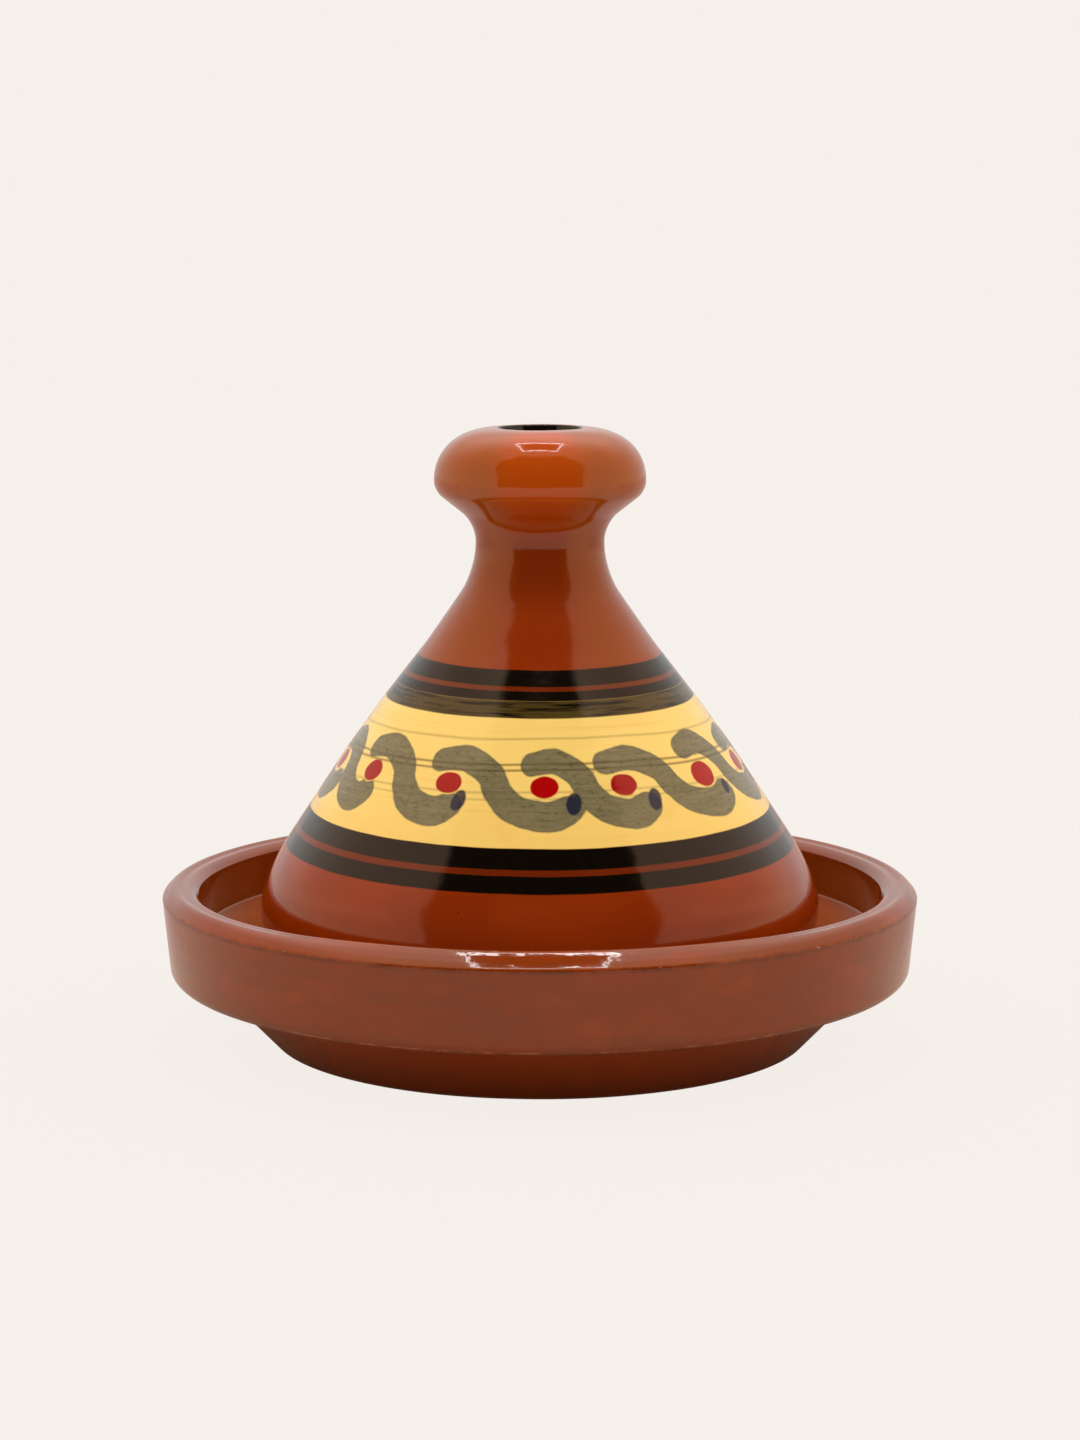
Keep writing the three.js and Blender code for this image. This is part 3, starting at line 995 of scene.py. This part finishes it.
def glaze_the_dish():
    material, bench, shader, place = start_recipe("dish glaze")
    _, _, height, reach = bench.millimetres(place)
    tone = clay_colour(bench, place)
    brown = bench.spread(bench.clouds(place, *DISH_BRUSH), *BROWN_SHARE)
    tone = bench.mix(brown, tone, DISH_BROWN)
    tone = bench.mix(bench.times(bench.clouds(place, *BLOTCHES), BLOTCH_SHARE), tone, CLAY_LIGHT)
    foot_wall = bench.inverse(bench.step(height, *FOOT_WALL_ENDS))
    tone = bench.mix(bench.times(foot_wall, FOOT_WALL_SHARE), tone, CLAY_LIGHT)
    moat = bench.math("SUBTRACT", bench.step(reach, *MOAT_BEGINS), bench.step(reach, *MOAT_ENDS))
    moat = bench.times(moat, bench.step(height, *MOAT_ABOVE))
    tone = bench.mix(bench.times(moat, MOAT_SHARE), tone, MOAT_AMBER)

    # painted reflection: a dark, patchy line under the rim's arris, where its tight rounding would mirror the
    # dark opening
    painted_dark_line = bench.step(bench.kept("painted_dark_line"), *DARK_LINE_EDGE)
    patchy = bench.spread(bench.clouds(place, *DARK_LINE_PATCHES), *DARK_LINE_SHARE)
    tone = bench.mix(bench.times(painted_dark_line, patchy), tone, CLAY_PINHOLE_AND_DARK_LINE)
    # worn dashes on the rim's arris, and a pale line on the wall's lower edge that is partly chips and partly a
    # painted highlight
    wear_and_sheen_here = bench.kept("edge_wear_and_sheen")
    thin = bench.times(bench.step(wear_and_sheen_here, *WEAR_AND_SHEEN_EDGE), bench.clouds(place, *DASHES))
    share = bench.spread(bench.step(height, *WALL_CLIMBS), *WEAR_AND_SHEEN_SHARE)
    tone = bench.mix(bench.times(thin, share), tone, CLAY_THIN_AND_SHEEN)
    chipped = bench.step(bench.times(bench.noise(place, *CHIPS), wear_and_sheen_here), *CHIP_EDGE)
    tone = bench.mix(chipped, tone, RAW_CLAY)
    under = bench.inverse(bench.step(height, *BARE_BASE))
    tone = bench.mix(under, tone, RAW_CLAY)
    bench.feed(shader.inputs["Base Color"], tone)

    haze = bench.spread(bench.noise(place, *DISH_HAZE), *DISH_ROUGHNESS)
    bare = bench.times(bench.math("MAXIMUM", under, chipped), BARE_ROUGHNESS)
    bench.feed(shader.inputs["Roughness"], bench.math("MAXIMUM", haze, bare))
    glaze_skin(bench, place, shader, DISH_BUMP)
    return material


dish.data.materials.append(glaze_the_dish())
print(f"dish glazed: {len(dish.data.materials[0].node_tree.nodes)} nodes")

# %% [markdown]
# ## The painted lid
# Bands are painted on the turning wheel, so they are found by height alone, with a slight waver. The cream is
# a slip brushed on before the glaze, and it shows its brush lines. Black over cream turns olive and streaky
# where the brush ran dry. Each coat could be a skin of its own, but paint is too thin for that, so one recipe
# lays coat over coat. The strokes, dots and dabs read the distances kept on the skin.

# %% Lid clay
KNOB_AMBER = colour(0.45, 0.058, 0.0014)
KNOB_BROWN = colour(0.34, 0.062, 0.0040)
FLANK_AMBER = colour(0.295, 0.0520, 0.0010)
# painted shade: the neck's hollow under the knob is painted darker
NECK_SHADE = colour(0.200, 0.0200, 0.0006)
NECK_SHADE_BEGINS = (150, 168)
NECK_SHADE_ENDS = (176, 190)
NECK_SHADE_SHARE = 0.8
FLANK = (0.25, 0.55)  # sideways is 0 in front and behind, and 1 at the sides
FLANK_ABOVE = (120, 140)
FLANK_SHARE = 0.7
KNOB_BEGINS = (178, 198)
SKIRT_SIDES = (0.36, 0.55)  # where the lower skirt's painted sheen climbs highest, at the sides
SKIRT_SHEEN_FROM = (40, 52)  # the lid's lower edge gets a painted sheen and a matte gloss up to here: in front, and at the sides
SKIRT_SHEEN_TO = (46, 64)
SKIRT_SHEEN_SHARE = 0.5


# the lid's lower skirt: a painted sheen in its colour, and a matte gloss
def lower_skirt_sheen_and_matte(bench, sideways, height):
    at_sides = bench.step(sideways, *SKIRT_SIDES)
    above = bench.step(height, bench.spread(at_sides, *SKIRT_SHEEN_FROM), bench.spread(at_sides, *SKIRT_SHEEN_TO))
    return bench.times(bench.inverse(above), bench.kept("outside"))


def lid_clay(bench, place, sideways, height, skirt_sheen_and_matte):
    """Red clay, with painted shade in the neck's hollow under the knob, amber on the flanks and the knob, and a
    painted sheen on the lower edge.
    """
    tone = clay_colour(bench, place)
    # painted shade in the neck's hollow, under the knob
    neck = bench.math("SUBTRACT", bench.step(height, *NECK_SHADE_BEGINS), bench.step(height, *NECK_SHADE_ENDS))
    tone = bench.mix(bench.times(neck, NECK_SHADE_SHARE), tone, NECK_SHADE)
    flank = bench.step(sideways, *FLANK)
    high_flank = bench.times(flank, bench.step(height, *FLANK_ABOVE))
    tone = bench.mix(bench.times(high_flank, FLANK_SHARE), tone, FLANK_AMBER)
    knob_tone = bench.mix(flank, KNOB_AMBER, KNOB_BROWN)
    tone = bench.mix(bench.step(height, *KNOB_BEGINS), tone, knob_tone)
    # painted sheen: the lower skirt is painted paler against the rim's shade and the moat's dark reflection in
    # it
    return bench.mix(bench.times(skirt_sheen_and_matte, SKIRT_SHEEN_SHARE), tone, CLAY_THIN_AND_SHEEN)


print("lid clay ready")

# %% Brushwork
CREAM = colour(0.94, 0.62, 0.158)
CREAM_DEEP = colour(0.88, 0.50, 0.100)
OLIVE_BLACK = colour(0.075, 0.046, 0.009)
OLIVE = colour(0.190, 0.155, 0.075)
OLIVE_DARK = colour(0.135, 0.112, 0.057)
OLIVE_DEEP = colour(0.070, 0.058, 0.030)
RED = colour(0.42, 0.0008, 0.0008)
RED_DARK = colour(0.33, 0.0006, 0.0006)
NAVY = colour(0.012, 0.015, 0.034)
BRUSH_LINES = ((9, 9, 760), 4, 0.65, 0.50, 0.75)
BRUSH_SHARE = 0.6
WASH = ((60, 60, 90), 3, 0.5)
WASH_THICK = (0.50, 0.75)
WASH_SHARE = 0.35
LOW_CREAM_ENDS = (84, 100)
LOW_CREAM_SHARE = 0.3
POOLED_UNDER = 0.5  # how dark the grooves are under the strokes, and over them
POOLED_OVER = 0.6
RAGGED = ((300, 300, 300), 3, 0.5)
RAGGED_BY = 0.4  # how far a brush's edge strays
STROKE_EDGE = (-0.45, 0.35)  # distances from the drawn edge, from inside it to outside
STROKE_BRIM = (-1.3, -0.3)
STROKE_BRIM_SHARE = 0.5
STROKE_COVER = (0.97, 0.86)  # how well a stroke covers, and where its hairs ran dry
DAB_EDGE = (-0.5, 0.4)
DAB_COVER = 0.94
DOT_EDGE = (-0.35, 0.3)
DOT_HALO = (0.1, 0.7)  # strokes keep this clear of a dot
DOT_WASH = (0.35, 0.70)
HAIRS = ((70, 70, 1800), 3, 0.7)
HAIRS_DRY = (0.55, 0.80)
HAIRS_LIGHT = (0.25, 0.60)
SPECKS = ((420, 420, 900), 4, 0.75, 0.50, 0.68)
SPECK_SHARE = 0.75


def painted_cream(bench, place, height):
    """Cream slip with its brush lines, and the strokes, the dabs and the dots on it."""
    wash = bench.noise(place, *WASH)
    cream = bench.mix(bench.times(bench.clouds(place, *BRUSH_LINES), BRUSH_SHARE), CREAM, CREAM_DEEP)
    low = bench.inverse(bench.step(height, *LOW_CREAM_ENDS))
    thick = bench.times(bench.step(wash, *WASH_THICK), WASH_SHARE)
    cream = bench.mix(bench.math("MULTIPLY_ADD", low, LOW_CREAM_SHARE, thick), cream, CREAM_DEEP)
    grooves = bench.kept("pooled")
    cream = bench.mix(bench.times(grooves, POOLED_UNDER), cream, OLIVE_BLACK)

    ragged = bench.spread(bench.noise(place, *RAGGED), -RAGGED_BY, RAGGED_BY)
    stroke, dab, dot = (bench.math("ADD", bench.kept(name), ragged) for name in ("stroke", "dab", "dot"))
    hairs = bench.noise(place, *HAIRS)
    olive = bench.mix(bench.step(hairs, *HAIRS_LIGHT), OLIVE_DARK, OLIVE)
    brim = bench.times(bench.step(stroke, *STROKE_BRIM), STROKE_BRIM_SHARE)
    olive = bench.mix(brim, olive, OLIVE_DARK)
    olive = bench.mix(bench.times(bench.clouds(place, *SPECKS), SPECK_SHARE), olive, OLIVE_DEEP)
    stroked = bench.times(bench.inverse(bench.step(stroke, *STROKE_EDGE)), bench.step(dot, *DOT_HALO))
    cover = bench.spread(bench.step(hairs, *HAIRS_DRY), *STROKE_COVER)
    cream = bench.mix(bench.times(stroked, cover), cream, olive)
    cream = bench.mix(bench.times(grooves, POOLED_OVER), cream, OLIVE_BLACK)
    dabbed = bench.inverse(bench.step(dab, *DAB_EDGE))
    cream = bench.mix(bench.times(dabbed, DAB_COVER), cream, NAVY)
    red = bench.mix(bench.step(wash, *DOT_WASH), RED, RED_DARK)
    return bench.mix(bench.inverse(bench.step(dot, *DOT_EDGE)), cream, red)


print("brushwork ready")

# %% Lid paint
BLACK = colour(0.0045, 0.0024, 0.0010)
WELL_DARK = colour(0.012, 0.006, 0.004)
CREAM_BAND = (83.28, 127.9)  # heights of the lower and the upper edge
DRY_BAND = (122.56, 127.9)
THIN_LINES = ((75.16, 76.94), (130.9, 132.25))
THIN_LINE_COVER = 0.45
BLACK_BANDS = ((69.8, 75.16), (76.94, 83.28), (127.9, 130.9), (132.25, 137.42))
BAND_SOFT = 0.22  # half the width of a band's soft edge
BAND_TILT = 0.024  # the bands climb towards the back by this share of the way
BAND_TILT_FROM = -70  # and are at their own height here, on the front
WAVER = ((34, 34, 10), 3, 0.5)
WAVER_BY = 0.35
DRY_STREAKS = ((40, 40, 900), 3, 0.6, 0.42, 0.62)
WELL_ABOVE = (178, 182)
WELL_WITHIN = (15.0, 15.6)
LID_HAZE = ((60, 60, 60), 3, 0.5)
LID_ROUGHNESS = (0.05, 0.13)
SKIRT_ROUGHNESS = 0.5  # the gloss is dulled on the lid's lower edge, under its painted sheen
LID_BUMP = 0.25


def band_between(bench, level, low, high):
    rise = bench.step(level, low - BAND_SOFT, low + BAND_SOFT)
    fall = bench.step(level, high - BAND_SOFT, high + BAND_SOFT)
    return bench.math("SUBTRACT", rise, fall)


def paint_the_lid():
    material, bench, shader, place = start_recipe("lid glaze")
    x, y, height, reach = bench.millimetres(place)
    sideways = bench.math("DIVIDE", bench.math("ABSOLUTE", x), reach)
    skirt_sheen_and_matte = lower_skirt_sheen_and_matte(bench, sideways, height)
    tone = lid_clay(bench, place, sideways, height, skirt_sheen_and_matte)

    lean = bench.math("MULTIPLY_ADD", y, BAND_TILT, -BAND_TILT * BAND_TILT_FROM)
    waver = bench.spread(bench.noise(place, *WAVER), -WAVER_BY, WAVER_BY)
    level = bench.math("ADD", bench.math("SUBTRACT", height, lean), waver)
    dry_black = bench.mix(bench.clouds(place, *DRY_STREAKS), OLIVE_BLACK, BLACK)
    coats = [
        (CREAM_BAND, painted_cream(bench, place, height), 1.0),
        (DRY_BAND, dry_black, 1.0),
        *((line, BLACK, THIN_LINE_COVER) for line in THIN_LINES),
        *((band_edges, BLACK, 1.0) for band_edges in BLACK_BANDS),
    ]
    outer = bench.kept("outside")
    for (low, high), paint, cover in coats:
        covered = bench.times(band_between(bench, level, low, high), cover)
        tone = bench.mix(bench.times(covered, outer), tone, paint)

    within = bench.inverse(bench.step(reach, *WELL_WITHIN))
    tone = bench.mix(bench.times(bench.step(height, *WELL_ABOVE), within), tone, WELL_DARK)
    bench.feed(shader.inputs["Base Color"], tone)
    haze = bench.spread(bench.noise(place, *LID_HAZE), *LID_ROUGHNESS)
    dull = bench.times(skirt_sheen_and_matte, SKIRT_ROUGHNESS)
    bench.feed(shader.inputs["Roughness"], bench.math("MAXIMUM", haze, dull))
    glaze_skin(bench, place, shader, LID_BUMP)
    return material


lid.data.materials.append(paint_the_lid())
print(f"lid painted: {len(lid.data.materials[0].node_tree.nodes)} nodes")

# %% [markdown]
# ## Putting the pieces on their bodies
# Each turned piece stands for its node in the imported model and rides on that node's body, so the lid lifts
# off the dish as the joint says. The boxes before and after are printed.

# %% Ride, replace, finish
for piece, node, slot in ((dish, "dish", "dish_glaze"), (lid, "lid", "lid_glaze")):
    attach(piece, node)
    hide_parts(node)

visual_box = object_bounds()
for name, (low, high) in (("CAD", cad_box), ("visual", visual_box)):
    print(name, "box in mm:", [round(x / MM, 2) for x in (*low, *high)])
